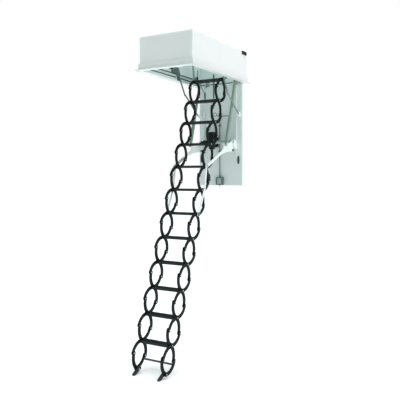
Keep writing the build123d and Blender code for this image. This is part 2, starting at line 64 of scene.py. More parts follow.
class Finish:
    """A material with short ways to add procedural detail. Sizes are in metres."""

    def __init__(self, name):
        self.material = bpy.data.materials.new(name)
        self.material.use_nodes = True
        self.tree = self.material.node_tree
        self.tree.nodes.clear()
        self.shader = self.tree.nodes.new("ShaderNodeBsdfPrincipled")
        output = self.tree.nodes.new("ShaderNodeOutputMaterial")
        self.tree.links.new(self.shader.outputs[0], output.inputs[0])
        self.place = self.tree.nodes.new("ShaderNodeTexCoord").outputs["Object"]

    def feed(self, socket, value):
        if isinstance(value, bpy.types.NodeSocket):
            self.tree.links.new(value, socket)
        else:
            socket.default_value = value

    def math(self, operation, first, second=0.0):
        node = self.tree.nodes.new("ShaderNodeMath")
        node.operation = operation
        self.feed(node.inputs[0], first)
        self.feed(node.inputs[1], second)
        return node.outputs[0]

    def noise(self, size, detail=3.0, stretch=(1, 1, 1)):
        """Noise whose blobs are about this many metres across."""
        scale = self.tree.nodes.new("ShaderNodeMapping")
        self.feed(scale.inputs["Vector"], self.place)
        scale.inputs["Scale"].default_value = [s / size for s in stretch]
        node = self.tree.nodes.new("ShaderNodeTexNoise")
        self.feed(node.inputs["Vector"], scale.outputs[0])
        node.inputs["Scale"].default_value = 1.0
        node.inputs["Detail"].default_value = detail
        node.inputs["Roughness"].default_value = 0.55
        return node.outputs["Fac"]

    def cells(self, size):
        node = self.tree.nodes.new("ShaderNodeTexVoronoi")
        self.feed(node.inputs["Vector"], self.place)
        node.inputs["Scale"].default_value = 1.0 / size
        return node.outputs["Color"]

    def ramp(self, value, low, high):
        node = self.tree.nodes.new("ShaderNodeMapRange")
        node.interpolation_type = "SMOOTHSTEP"
        self.feed(node.inputs["Value"], value)
        node.inputs["From Min"].default_value = low
        node.inputs["From Max"].default_value = high
        return node.outputs["Result"]

    def mix(self, share, first, second):
        node = self.tree.nodes.new("ShaderNodeMix")
        node.data_type = "RGBA"
        self.feed(node.inputs["Factor"], share)
        for socket, value in ((node.inputs[6], first), (node.inputs[7], second)):
            value = (*value, 1.0) if isinstance(value, tuple) and len(value) == 3 else value
            self.feed(socket, value)
        return node.outputs[2]

    def axis(self, index):
        node = self.tree.nodes.new("ShaderNodeSeparateXYZ")
        self.feed(node.inputs[0], self.place)
        return node.outputs[index]

    def edges(self, radius, low, high):
        """1 on sharp outer edges, falling to 0 within the radius."""
        round_off = self.tree.nodes.new("ShaderNodeBevel")
        round_off.samples = 4
        round_off.inputs["Radius"].default_value = radius
        flat = self.tree.nodes.new("ShaderNodeNewGeometry").outputs["Normal"]
        dot = self.tree.nodes.new("ShaderNodeVectorMath")
        dot.operation = "DOT_PRODUCT"
        self.feed(dot.inputs[0], round_off.outputs[0])
        self.feed(dot.inputs[1], flat)
        return self.ramp(self.math("SUBTRACT", 1.0, dot.outputs["Value"]), low, high)

    def relief(self, height, depth, under=None):
        """Bump of this depth, laid over an earlier bump."""
        node = self.tree.nodes.new("ShaderNodeBump")
        node.inputs["Strength"].default_value = 1.0
        node.inputs["Distance"].default_value = depth
        self.feed(node.inputs["Height"], height)
        if under is not None:
            self.feed(node.inputs["Normal"], under)
        return node.outputs[0]

    def done(self, colour, rough, normal, metallic=0.0, specular=0.5):
        self.feed(self.shader.inputs["Base Color"], colour)
        self.feed(self.shader.inputs["Roughness"], rough)
        self.feed(self.shader.inputs["Normal"], normal)
        self.shader.inputs["Metallic"].default_value = metallic
        self.shader.inputs["Specular IOR Level"].default_value = specular
        return self.material


def shade(colour, by):
    return tuple(min(1.0, c * by) for c in colour)


def board(name, colour, rough=0.42, groove=None, painted_bounce_tint=None):
    """Smooth laminate or lacquer on board: faint waviness, fine peel, scuffs and dusty edges, and when asked a
    painted bounce tint on the box's inner faces.
    """
    f = Finish(name)
    cloud = f.noise(0.45, 4.0)
    fine = f.noise(0.012, 5.0)
    tone = f.mix(cloud, shade(colour, 0.955), shade(colour, 1.02))
    tone = f.mix(f.math("MULTIPLY", f.ramp(fine, 0.55, 0.8), 0.10), tone, shade(colour, 0.8))
    scuffs = f.ramp(f.noise(0.02, 2.0, (0.12, 0.12, 1.0)), 0.70, 0.76)
    tone = f.mix(f.math("MULTIPLY", scuffs, 0.05), tone, (0.42, 0.44, 0.44))
    grime = f.math("MULTIPLY", f.edges(0.004, 0.02, 0.35), f.ramp(fine, 0.35, 0.7))
    tone = f.mix(f.math("MULTIPLY", grime, 0.25), tone, (0.45, 0.47, 0.46))
    normal = f.relief(f.noise(0.30, 2.0), 0.0006)
    normal = f.relief(f.noise(0.0016, 2.0), 0.00003, normal)
    if painted_bounce_tint:
        # the box's inner faces get a greener colour than its outside: a painted tint of the greenish bounce light
        # inside the box, on the same white board
        reach = [f.math("ABSOLUTE", f.axis(i)) for i in (0, 1)]
        outside = [f.ramp(r, BOX_HALF[i] - 0.010, BOX_HALF[i] - 0.008) for i, r in enumerate(reach)]
        inside = f.math("SUBTRACT", 1.0, f.math("MAXIMUM", *outside))
        tone = f.mix(inside, tone, painted_bounce_tint)
    if groove:
        line = groove(f)
        tone = f.mix(f.math("MULTIPLY", line, 0.7), tone, (0.12, 0.13, 0.13))
        normal = f.relief(f.math("SUBTRACT", 1.0, line), 0.0006, normal)
    matt = f.math("ADD", rough - 0.06, f.math("MULTIPLY", fine, 0.14))
    return f.done(tone, matt, normal)


def near(f, value, place, half):
    """1 where a value lies within half of a place."""
    gap = f.math("ABSOLUTE", f.math("SUBTRACT", value, place))
    return f.math("SUBTRACT", 1.0, f.ramp(gap, half, half * 1.6))


def mitres(f):
    """The 45-degree joints at the corners of the ceiling trim."""
    x, y = (f.math("ABSOLUTE", f.axis(i)) for i in (0, 1))
    return near(f, f.math("SUBTRACT", x, y), BOX_HALF.x - BOX_HALF.y, 0.0005)


def leaf_joint(f):
    """The line between the leaf's core and its inner face."""
    return near(f, f.axis(0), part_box("leaf_panel")[0].x + 0.0035, 0.0004)


def painted(name, colour, rough):
    """Sprayed or powder-coated steel: orange peel, scratches, and paint worn off the edges."""
    f = Finish(name)
    cloud = f.noise(0.08, 4.0)
    tone = f.mix(cloud, shade(colour, 0.90), shade(colour, 1.07))
    rub = f.ramp(f.noise(0.006, 2.0, (0.25, 1.0, 0.08)), 0.66, 0.73)
    tone = f.mix(f.math("MULTIPLY", rub, 0.10), tone, shade(colour, 0.6))
    worn = f.math("MULTIPLY", f.edges(0.0015, 0.03, 0.4), f.ramp(f.noise(0.014, 4.0), 0.5, 0.66))
    tone = f.mix(f.math("MULTIPLY", worn, 0.5), tone, (0.32, 0.33, 0.33))
    normal = f.relief(f.noise(0.0012, 2.0), 0.00005)
    matt = f.math("ADD", rough - 0.08, f.math("MULTIPLY", cloud, 0.18))
    return f.done(tone, matt, normal)


def cast(name, colour):
    """Coated cast aluminium: sandy skin, soft pits, dusty hollows and rubbed edges."""
    f = Finish(name)
    cloud = f.noise(0.05, 4.0)
    sand = f.noise(0.0011, 3.0)
    tone = f.mix(cloud, shade(colour, 0.65), shade(colour, 1.45))
    tone = f.mix(f.math("MULTIPLY", f.ramp(sand, 0.56, 0.7), 0.35), tone, shade(colour, 2.2))
    dust = f.ramp(f.noise(0.018, 5.0), 0.52, 0.75)
    tone = f.mix(f.math("MULTIPLY", dust, 0.10), tone, (0.05, 0.058, 0.056))
    worn = f.math("MULTIPLY", f.edges(0.0018, 0.04, 0.45), f.ramp(f.noise(0.010, 4.0), 0.46, 0.62))
    tone = f.mix(f.math("MULTIPLY", worn, 0.55), tone, (0.055, 0.063, 0.061))
    normal = f.relief(f.noise(0.0032, 3.0), 0.00012)
    normal = f.relief(sand, 0.00008, normal)
    matt = f.math("ADD", 0.4, f.math("MULTIPLY", cloud, 0.24))
    return f.done(tone, matt, normal, specular=0.09)


def tread_skin(name, colour):
    """Anthracite extruded aluminium: drawn lines across the ladder, ribs rubbed pale by shoes."""
    f = Finish(name)
    drawn = f.noise(0.0009, 3.0, (1.0, 0.012, 1.0))
    cloud = f.noise(0.06, 4.0)
    tone = f.mix(drawn, shade(colour, 0.65), shade(colour, 1.4))
    scuffed = f.ramp(f.noise(0.035, 5.0, (1.0, 0.6, 1.0)), 0.5, 0.72)
    tone = f.mix(f.math("MULTIPLY", scuffed, 0.14), tone, (0.15, 0.175, 0.17))
    worn = f.math("MULTIPLY", f.edges(0.0009, 0.05, 0.5), f.ramp(cloud, 0.38, 0.6))
    tone = f.mix(f.math("MULTIPLY", worn, 0.45), tone, (0.19, 0.215, 0.21))
    normal = f.relief(drawn, 0.00005)
    matt = f.math("ADD", 0.40, f.math("MULTIPLY", cloud, 0.2))
    return f.done(tone, matt, normal, specular=0.25)


def zinc_plate(name, colour):
    """Zinc-plated steel: a faint spangle with fine rolling lines."""
    f = Finish(name)
    spangle = f.cells(0.006)
    tone = f.mix(f.math("MULTIPLY", spangle, 0.5), shade(colour, 0.75), shade(colour, 1.25))
    stain = f.ramp(f.noise(0.03, 5.0), 0.5, 0.75)
    tone = f.mix(f.math("MULTIPLY", stain, 0.3), tone, (0.25, 0.26, 0.25))
    rolled = f.noise(0.0008, 2.0, (0.04, 0.04, 1.0))
    normal = f.relief(rolled, 0.00004)
    matt = f.math("ADD", 0.30, f.math("MULTIPLY", stain, 0.25))
    return f.done(tone, matt, normal, 0.75)


def rubber(name, colour):
    """Dull rubber: fine mould texture, chalky bloom and small nicks."""
    f = Finish(name)
    bloom = f.ramp(f.noise(0.015, 5.0), 0.45, 0.75)
    skin = f.noise(0.0009, 3.0)
    tone = f.mix(f.math("MULTIPLY", bloom, 0.35), colour, (0.10, 0.11, 0.11))
    tone = f.mix(f.math("MULTIPLY", f.ramp(skin, 0.6, 0.75), 0.2), tone, shade(colour, 0.4))
    normal = f.relief(skin, 0.00007)
    matt = f.math("ADD", 0.66, f.math("MULTIPLY", bloom, 0.2))
    return f.done(tone, matt, normal)


def moulded(name, colour):
    """Black moulded plastic: spark-eroded texture, faint flow marks and handling shine."""
    f = Finish(name)
    leather = f.noise(0.0007, 4.0)
    flow = f.noise(0.04, 3.0, (1.0, 0.4, 1.0))
    tone = f.mix(flow, shade(colour, 0.7), shade(colour, 1.6))
    dust = f.ramp(f.noise(0.006, 5.0), 0.56, 0.8)
    tone = f.mix(f.math("MULTIPLY", dust, 0.08), tone, (0.12, 0.13, 0.13))
    worn = f.math("MULTIPLY", f.edges(0.001, 0.05, 0.5), 0.3)
    tone = f.mix(worn, tone, shade(colour, 3.0))
    normal = f.relief(leather, 0.00006)
    matt = f.math("ADD", 0.38, f.math("MULTIPLY", flow, 0.2))
    return f.done(tone, matt, normal, specular=0.2)


BOX_LOW, BOX_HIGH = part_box("box_side_walls")
BOX_HALF = Vector((BOX_HIGH.x, BOX_HIGH.y, 0))
WHITE = (0.80, 0.815, 0.81)
FINISHES = {
    # inside the box the same white board carries a painted greenish bounce tint
    "box_board": board("white_board", WHITE, painted_bounce_tint=(0.76, 0.87, 0.85)),
    "white_trim": board("white_lacquer", WHITE, 0.36, mitres),
    # the leaf is the same white board as the box; its darker, bluer colour here is painted shade from the box
    # above it
    "leaf_board": board("white_panel_painted_shade", (0.73, 0.80, 0.79), 0.4, leaf_joint),
    "lever_white": painted("white_paint", (0.80, 0.86, 0.85), 0.34),
    "ladder_black": cast("anthracite_casting", (0.0075, 0.0105, 0.010)),
    "tread_dark": tread_skin("anthracite_extrusion", (0.014, 0.020, 0.019)),
    "stay_grey": painted("grey_paint", (0.10, 0.16, 0.15), 0.42),
    "strut_green": painted("green_grey_paint", (0.215, 0.32, 0.25), 0.40),
    "zinc": zinc_plate("zinc_plate", (0.20, 0.27, 0.26)),
    "seal_rubber": rubber("seal_rubber", (0.045, 0.065, 0.062)),
    "foot_rubber": rubber("foot_rubber", (0.008, 0.010, 0.010)),
    "drive_black": moulded("black_moulding", (0.008, 0.010, 0.010)),
}
BRIGHT = zinc_plate("bright_steel", (0.55, 0.57, 0.57))

# nodes whose finish differs from the rest of their slot
PALE_GREY = painted("pale_grey_paint", (0.32, 0.42, 0.40), 0.42)
HINGE_ZINC = zinc_plate("hinge_zinc", (0.46, 0.55, 0.54))
OWN_FINISH = {
    "hanger_arms": PALE_GREY,
    "hinge_box_plates": HINGE_ZINC,
    "hinge_leaf_plates": HINGE_ZINC,
    "stay_lower_links": painted("lower_stay_paint", (0.17, 0.26, 0.225), 0.42),
    "stabiliser_bar": painted("bar_paint", (0.075, 0.105, 0.10), 0.45),
}

SLOT_OF = {s["node"]: s["material_slot"] for s in frame["record"]["subparts"]}

# width of the rounded edge on each kind of CAD solid
SOFT_EDGE = {
    "link": 0.0028,
    "hanger": 0.0015,
    "lever": 0.0012,
    "leaf_panel": 0.0012,
    "ceiling": 0.0014,
    "feet": 0.003,
    "stay": 0.0009,
    "stabiliser": 0.0008,
    "drive_motor": 0.0015,
    "leaf_rails": 0.0008,
    "latch_case": 0.001,
    "box_brackets": 0.0008,
}


def soften(obj, width):
    """Rounds the sharp edges of a CAD solid, in a modifier."""
    weld = obj.modifiers.new("weld", "WELD")
    weld.merge_threshold = 0.000005
    bevel = obj.modifiers.new("round", "BEVEL")
    bevel.width = width
    bevel.segments = 2
    bevel.limit_method = "ANGLE"
    bevel.angle_limit = math.radians(50)
    bevel.miter_outer = "MITER_ARC"
    obj.modifiers.new("normals", "WEIGHTED_NORMAL")


for node, obj in NODES.items():
    obj.data.materials.clear()
    obj.data.materials.append(OWN_FINISH.get(node, FINISHES[SLOT_OF[node]]))
    for start, width in SOFT_EDGE.items():
        if node.startswith(start):
            soften(obj, width)

# ------------------------------------------------------------------ shapes


class Shape:
    """A mesh built up from turned, slab, outline and swept forms."""

    def __init__(self):
        self.mesh = bmesh.new()

    def ring(self, centre, side, other, outline):
        return [self.mesh.verts.new(centre + side * u + other * v) for u, v in outline]

    def skin(self, rings, closed_ends=True):
        for first, second in zip(rings, rings[1:]):
            for i in range(len(first)):
                j = (i + 1) % len(first)
                self.mesh.faces.new((first[i], first[j], second[j], second[i]))
        if closed_ends:
            self.mesh.faces.new(rings[0][::-1])
            self.mesh.faces.new(rings[-1])

    def turned(self, profile, centre, axis, sides=28, oval=(1.0, 1.0), flats=0, hollow=False):
        """A turned form: radius and height pairs along an axis. flats=6 gives a hexagon, hollow a tube."""
        side = axis.orthogonal().normalized()
        if abs(axis.dot(Z)) < 0.9:
            side = axis.cross(Z).normalized()
        other = axis.cross(side).normalized()
        sides = flats or sides
        rings = []
        for radius, height in profile:
            radius = max(radius, 0.00005)
            turn = [2 * math.pi * (i + 0.5) / sides for i in range(sides)]
            outline = [(radius * oval[0] * math.cos(t), radius * oval[1] * math.sin(t)) for t in turn]
            rings.append(self.ring(centre + axis * height, side, other, outline))
        if hollow:
            self.skin(rings + rings[:1], closed_ends=False)
        else:
            self.skin(rings)
        return self

    def slab(self, low, high, edge=0.001, steps=2):
        """A box with rounded edges."""
        made = bmesh.ops.create_cube(self.mesh, size=1.0)["verts"]
        low, high = Vector(low), Vector(high)
        for vert in made:
            part = [a + (b - a) * (c + 0.5) for a, b, c in zip(low, high, vert.co)]
            vert.co = Vector(part)
        edges = list(dict.fromkeys(e for v in made for e in v.link_edges))
        bmesh.ops.bevel(self.mesh, geom=edges, offset=edge, segments=steps, profile=0.5,
                        affect="EDGES")
        return self

    def outline(self, points, low, high, edge=0.001):
        """An outline in X and Z, from one Y to another, with chamfered rims."""
        middle = Vector((sum(p[0] for p in points), sum(p[1] for p in points))) / len(points)
        rings = []
        for y, inset in ((low, edge), (low + edge, 0), (high - edge, 0), (high, edge)):
            ring = []
            for p in points:
                toward = (middle - Vector(p)).normalized() * inset
                ring.append(self.mesh.verts.new((p[0] + toward.x, y, p[1] + toward.y)))
            rings.append(ring)
        self.skin(rings)
        return self

    def swept(self, points, radius, sides=10):
        """A round bar through points."""
        rings = []
        for i, point in enumerate(points):
            ahead = points[min(i + 1, len(points) - 1)] - points[max(i - 1, 0)]
            ahead.normalize()
            side = ahead.orthogonal().normalized()
            if abs(ahead.dot(Y)) < 0.95:
                side = ahead.cross(Y).normalized()
            other = ahead.cross(side)
            turn = [2 * math.pi * k / sides for k in range(sides)]
            outline = [(radius * math.cos(t), radius * math.sin(t)) for t in turn]
            rings.append(self.ring(point, side, other, outline))
        self.skin(rings)
        return self

    def place(self, name, body, material, slot):
        """Ends the mesh as a piece that rides on a body of the pack."""
        bmesh.ops.recalc_face_normals(self.mesh, faces=self.mesh.faces)
        data = bpy.data.meshes.new(name)
        self.mesh.to_mesh(data)
        self.mesh.free()
        for face in data.polygons:
            face.use_smooth = True
        data.set_sharp_from_angle(angle=math.radians(35))
        data.materials.append(material)
        obj = bpy.data.objects.new(name, data)
        bpy.context.scene.collection.objects.link(obj)
        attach(obj, body)
        return obj


def dome(radius, height):
    """A rivet head."""
    shares = ((1.0, 0.0), (1.0, 0.25), (0.9, 0.6), (0.66, 0.86), (0.34, 0.98), (0.0, 1.0))
    return [(radius * r, height * h) for r, h in shares]


def socket_screw(radius, height):
    """A button head with a round-bottomed socket."""
    head = ((1.0, 0.0), (1.0, 0.3), (0.86, 0.72), (0.6, 0.97), (0.46, 1.0), (0.42, 0.95))
    socket = ((0.38, 0.35), (0.0, 0.25))
    return [(radius * r, height * h) for r, h in head + socket]


def washer(outer, inner, height):
    """A flat ring with a softened rim."""
    return [(inner, 0.0), (outer, 0.0), (outer, height * 0.7), (outer * 0.95, height), (inner, height)]


def hex_bolt(shape, centre, axis, radius, height):
    """A hexagon head on a washer."""
    shape.turned([(radius * 1.35, 0), (radius * 1.35, height * 0.2), (0, height * 0.2)], centre, axis)
    top = [(radius, height * 0.2), (radius, height * 0.85), (radius * 0.86, height), (0, height)]
    shape.turned(top, centre, axis, flats=6)


def cross_screw(shape, centre, axis, radius, height):
    """A pan head with two raised lands left by its crossed slot."""
    shape.turned(dome(radius, height * 0.8), centre, axis)
    lip = [(radius * 0.62, height * 0.5), (radius * 0.62, height * 0.98), (radius * 0.5, height)]
    lip += [(radius * 0.3, height * 0.82), (0.0, height * 0.6)]
    shape.turned(lip, centre, axis, flats=8)


def both(point):
    """A point and its mirror image across the middle plane, with the way outward."""
    return ((Vector((point[0], abs(point[1]), point[2])), Y),
            (Vector((point[0], -abs(point[1]), point[2])), -Y))

# ------------------------------------------------------------------ ladder


CROSSING = {1: JOINT["ladder_fold"]}
for n in range(2, RINGS + 1):
    CROSSING[n] = JOINT[f"tread_{n:02d}_pivot"]
CROSSING[RINGS + 1] = JOINT["foot_pivot"]


def knuckles(ring):
    """The front and rear pivots of a ring, front first."""
    spine = "b" if ring % 2 else "a"
    known = JOINT[f"link_{spine}_{ring + 1:02d}_pivot"]
    return sorted((known, CROSSING[ring] + CROSSING[ring + 1] - known), key=lambda p: p.x)


OUTER_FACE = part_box("link_a_02")[1].y
RIVET_INNER_Y = 0.154
for n in range(1, RINGS + 2):
    pivots = []
    if n > 1:
        pivots.append(knuckles(n - 1)[0])
    if n <= RINGS:
        pivots.append(knuckles(n)[1])
    rivets = Shape()
    for pivot in pivots:
        for centre, out in both((pivot.x, OUTER_FACE, pivot.z)):
            rivets.turned(dome(0.0068, 0.0022), centre, out)
        for centre, out in both((pivot.x, RIVET_INNER_Y, pivot.z)):
            rivets.turned(dome(0.0085, 0.0018), centre, -out)
    rivets.place(f"link_rivets_{n:02d}", f"link_a_{n:02d}", BRIGHT, "zinc")

# pressed plates close the ends of each tread's channel
PLATE_HALF = 0.0395
PLATE_Y = (0.1502, 0.1516)
for n in range(1, RINGS + 1):
    body = "hanger" if n == 1 else f"tread_{n:02d}"
    low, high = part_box(f"tread_{n:02d}")
    screws = Shape()
    for centre, out in both((CROSSING[n].x, high.y, CROSSING[n].z)):
        screws.turned(socket_screw(0.0075, 0.0028), centre, out)
    screws.place(f"axle_screws_{n:02d}", body, BRIGHT, "zinc")
    plates = Shape()
    top, foot = high.z - 0.0056, low.z + 0.0006
    shape = [(-PLATE_HALF, top), (-PLATE_HALF, foot + 0.003), (-0.014, foot + 0.001), (0, foot),
             (0.014, foot + 0.001), (PLATE_HALF, foot + 0.003), (PLATE_HALF, top)]
    points = [(CROSSING[n].x + x, z) for x, z in shape]
    for side in (-1, 1):
        ends = sorted(side * y for y in PLATE_Y)
        plates.outline(points, *ends, edge=0.0004)
        for x in (-0.028, 0.028):
            centre = Vector((CROSSING[n].x + x, side * 0.1514, CROSSING[n].z + 0.001))
            plates.turned(dome(0.0032, 0.0012), centre, Y * side, sides=16)
    plates.place(f"tread_ends_{n:02d}", body, FINISHES["ladder_black"], "ladder_black")

FOOT = CROSSING[RINGS + 1]
FOOT_INNER_Y = 0.128
foot_bolts = Shape()
for centre, out in both((FOOT.x, OUTER_FACE, FOOT.z)):
    foot_bolts.turned(socket_screw(0.0075, 0.0028), centre, out)
for centre, out in both((FOOT.x, FOOT_INNER_Y, FOOT.z)):
    foot_bolts.turned(dome(0.009, 0.003), centre, -out)
foot_bolts.place("foot_bolts", "feet", BRIGHT, "zinc")

# ------------------------------------------------------------------ hanger and levers

HANGER = JOINT["hanger_swing"]
HANGER_ARM = (0.186, 0.194)
HANGER_BRACKET_Y = 0.2602
caps = Shape()
for centre, out in both((HANGER.x, HANGER_ARM[1], HANGER.z)):
    caps.turned(washer(0.021, 0.0122, 0.003), centre, out)
for centre, out in both((HANGER.x, HANGER_ARM[0], HANGER.z)):
    caps.turned(washer(0.019, 0.0122, 0.004), centre, -out)
for centre, out in both((HANGER.x, HANGER_BRACKET_Y, HANGER.z)):
    caps.turned(washer(0.018, 0.0124, 0.005), centre, out)
caps.place("hanger_collars", "hanger", FINISHES["zinc"], "zinc")

SHAFT, KNEE = JOINT["lever_pivot"], JOINT["knee_pivot"]
LEVER = (0.198, 0.204)
LEVER_EAR_Y = 0.2131
KNEE_INNER_Y = 0.183
STRUT_FOOT = (0.250, 0.2383, -0.700)
shaft_rings = Shape()
for centre, out in both((SHAFT.x, LEVER_EAR_Y, SHAFT.z)):
    cap = [(0.0, 0.0), (0.018, 0.0), (0.018, 0.002), (0.016, 0.003), (0.0, 0.0032)]
    shaft_rings.turned(cap, centre, out)
    hex_bolt(shaft_rings, centre + out * 0.003, out, 0.0075, 0.006)
for centre, out in both((SHAFT.x, LEVER[0], SHAFT.z)):
    shaft_rings.turned(washer(0.021, 0.0152, 0.003), centre, -out)
for centre, out in both((KNEE.x, LEVER[1], KNEE.z)):
    hex_bolt(shaft_rings, centre, out, 0.0085, 0.007)
for centre, out in both((KNEE.x, KNEE_INNER_Y, KNEE.z)):
    shaft_rings.turned(socket_screw(0.009, 0.003), centre, -out)
for centre, out in both(STRUT_FOOT):
    hex_bolt(shaft_rings, centre, out, 0.0075, 0.005)
shaft_rings.place("lever_bolts", "lever_arms", BRIGHT, "zinc")

# a black bush shows between each lever and its ear
bushes = Shape()
for centre, out in both((SHAFT.x, 0.2042, SHAFT.z)):
    bushes.turned(washer(0.020, 0.0152, 0.0012), centre, out)
bushes.place("shaft_bushes", "leaf", FINISHES["drive_black"], "drive_black")

# ------------------------------------------------------------------ struts and stays

STRUT_TOP = JOINT["strut_pivot"]
STRUT_SLIDE = next(j for j in frame["joints"] if j["name"] == "strut_slide")
DOWN = -Vector(STRUT_SLIDE["axis"])
STRUT_Y = 0.224
STRUT_STARTS = [Vector((STRUT_TOP.x, side * STRUT_Y, STRUT_TOP.z)) for side in (-1, 1)]
TUBE_LENGTH = 0.5
collars = Shape()
for start in STRUT_STARTS:
    mouth = [(0.0112, -0.026), (0.0163, -0.026), (0.0180, -0.022), (0.0180, 0.0), (0.0168, 0.004),
             (0.0112, 0.004)]
    collars.turned(mouth, start + DOWN * TUBE_LENGTH, DOWN, hollow=True)
    neck = [(0.0162, 0.0), (0.0178, 0.002), (0.0178, 0.016), (0.0162, 0.019)]
    collars.turned(neck, start + DOWN * 0.026, DOWN)
collars.place("strut_collars", "strut_tubes", FINISHES["strut_green"], "strut_green")
# a thin outer sleeve rides up over each tube as the strut shortens
sleeves = Shape()
for start in STRUT_STARTS:
    wall = [(0.0184, 0.470), (0.0196, 0.470), (0.0196, 0.474), (0.0190, 0.476), (0.0190, 0.728),
            (0.0176, 0.738), (0.0112, 0.742), (0.0112, 0.740), (0.0168, 0.736), (0.0184, 0.726)]
    sleeves.turned(wall, start, DOWN, sides=36, hollow=True)
sleeves.place("strut_sleeves", "strut_rods", FINISHES["strut_green"], "strut_green")

STAY_BOX, STAY_KNEE = JOINT["stay_box_pivot"], JOINT["stay_knee_pivot"]
STAY_FACES = (0.251, 0.266)
stay_rivets = Shape()
for centre, out in both((STAY_KNEE.x, STAY_FACES[1], STAY_KNEE.z)):
    stay_rivets.turned(dome(0.008, 0.0025), centre, out)
for centre, out in both((STAY_KNEE.x, STAY_FACES[0], STAY_KNEE.z)):
    stay_rivets.turned(dome(0.006, 0.0018), centre, -out)
stay_rivets.place("stay_knee_rivets", "stay_upper_links", BRIGHT, "zinc")
BRACKET_Y = 0.268
STAY_BOLTS = ((-0.028, 0.10), (0.02, 0.118), (0.075, 0.112))
STRUT_BOLTS = ((0.454, 0.078), (0.487, 0.08), (0.454, 0.03), (0.487, 0.03))
HANGER_BOLTS = ((0.208, 0.275), (0.272, 0.275), (0.224, 0.222))
box_pins = Shape()
for point, y in ((STAY_BOX, 0.250), (STRUT_TOP, 0.210)):
    for centre, out in both((point.x, y, point.z)):
        box_pins.turned(socket_screw(0.007, 0.0025), centre, -out)
for x, z in STAY_BOLTS + STRUT_BOLTS + HANGER_BOLTS:
    for centre, out in both((x, BRACKET_Y, z)):
        hex_bolt(box_pins, centre, -out, 0.0048, 0.004)
box_pins.place("bracket_bolts", "box", BRIGHT, "zinc")

# ------------------------------------------------------------------ hatch box details

WALL_X, WALL_Y, TOP = BOX_HIGH
BOARD = 0.018
LEG_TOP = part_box("ceiling_trim")[1].z
trim = Shape()
for sx in (-1, 1):
    for sy in (-1, 1):
        # corner angles cover the board joints
        long_leg = sorted((sx * (WALL_X + 0.0012), sx * (WALL_X - 0.026)))
        short_leg = sorted((sy * (WALL_Y + 0.0012), sy * (WALL_Y - 0.026)))
        outer_y = sorted((sy * WALL_Y, sy * (WALL_Y + 0.0012)))
        outer_x = sorted((sx * WALL_X, sx * (WALL_X + 0.0012)))
        trim.slab((long_leg[0], outer_y[0], LEG_TOP), (long_leg[1], outer_y[1], TOP), 0.0004)
        trim.slab((outer_x[0], short_leg[0], LEG_TOP), (outer_x[1], short_leg[1], TOP), 0.0004)
inner_x, inner_y = WALL_X - BOARD, WALL_Y - BOARD
for s in (-1, 1):
    # edge caps run along the tops of the boards, with a short lip on either face
    y = sorted((s * (inner_y - 0.001), s * (WALL_Y + 0.0013)))
    trim.slab((-WALL_X - 0.0013, y[0], TOP), (WALL_X + 0.0013, y[1], TOP + 0.0012), 0.0004)
    lip = sorted((s * (WALL_Y + 0.0002), s * (WALL_Y + 0.0016)))
    trim.slab((-WALL_X, lip[0], TOP - 0.016), (WALL_X, lip[1], TOP + 0.001), 0.0004)
    x = sorted((s * (inner_x - 0.001), s * (WALL_X + 0.0013)))
    trim.slab((x[0], -inner_y, TOP), (x[1], inner_y, TOP + 0.0011), 0.0004)
    lip = sorted((s * (WALL_X + 0.0002), s * (WALL_X + 0.0016)))
    trim.slab((lip[0], -WALL_Y, TOP - 0.016), (lip[1], WALL_Y, TOP + 0.001), 0.0004)
trim.place("box_edge_trim", "box", FINISHES["lever_white"], "white_trim")

wall_screws = Shape()
for mount in frame["record"]["mounts"]:
    if not mount["name"].startswith("wall_screws"):
        continue
    centre, out = Vector(mount["pos_m"]), Vector(mount["axis"])
    along = mount["dims"].get("spacing_x_mm", 0) / 2000
    up = mount["dims"]["spacing_y_mm"] / 2000
    for sx in ((-1, 1) if along else (0,)):
        for sz in (-1, 1):
            place = centre + X * sx * along + Z * sz * up
            cap = [(0.0036, -0.004), (0.0038, -0.0002), (0.0085, 0.0002), (0.0080, 0.0011)]
            wall_screws.turned(cap + [(0.0052, 0.0016), (0.0046, 0.0008), (0.0, 0.0007)], place, out)
wall_screws.place("wall_screw_caps", "box", FINISHES["lever_white"], "lever_white")

flange_screws = Shape()
spot = frame["record"]["mounts"][0]["dims"]
flange_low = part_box("ceiling_trim")[0].z
for sx in (-1, 1):
    for sy in (-1, 1):
        place = Vector((sx * spot["spacing_x_mm"] / 2000, sy * spot["spacing_y_mm"] / 2000, flange_low))
        sink = [(0.0062, 0.0003), (0.0060, 0.0009), (0.0048, 0.0006), (0.0036, -0.0012), (0.0031, -0.0016)]
        flange_screws.turned(sink, place, -Z)
flange_screws.place("flange_screw_rings", "box", BRIGHT, "zinc")

# a screw cover in the middle of each long wall
COVER_X, COVER_Z = -0.026, 0.173
covers = Shape()
for side in (-1, 1):
    centre = Vector((COVER_X, side * WALL_Y, COVER_Z))
    cap = [(0.0, 0.0004), (0.0185, 0.0006), (0.0205, 0.0022), (0.0235, 0.0026), (0.0255, 0.0)]
    covers.turned(cap[::-1], centre, Y * side, sides=40)
covers.place("wall_covers", "box", FINISHES["white_trim"], "white_trim")

# the black cable inlet on top of the right-hand board
inlet = Shape()
inlet.slab((0.474, -WALL_Y - 0.013, TOP - 0.024), (0.574, -WALL_Y + 0.020, TOP + 0.010), 0.006, 4)
inlet.slab((0.482, -WALL_Y - 0.009, TOP + 0.007), (0.566, -WALL_Y + 0.014, TOP + 0.0145), 0.003, 3)
inlet.place("cable_inlet", "box", FINISHES["drive_black"], "drive_black")

# lobed knobs that clamp the stay plates
KNOB = (-0.060, 0.2815, 0.118)
knobs = Shape()
for centre, out in both(KNOB):
    for k in range(6):
        lobe = centre + (X * math.cos(k * math.pi / 3) + Z * math.sin(k * math.pi / 3)) * 0.0125
        knobs.turned(dome(0.0078, 0.026), lobe, -out, sides=16)
    knobs.turned(dome(0.0165, 0.030), centre, -out)
knobs.place("stay_knobs", "box", FINISHES["drive_black"], "drive_black")

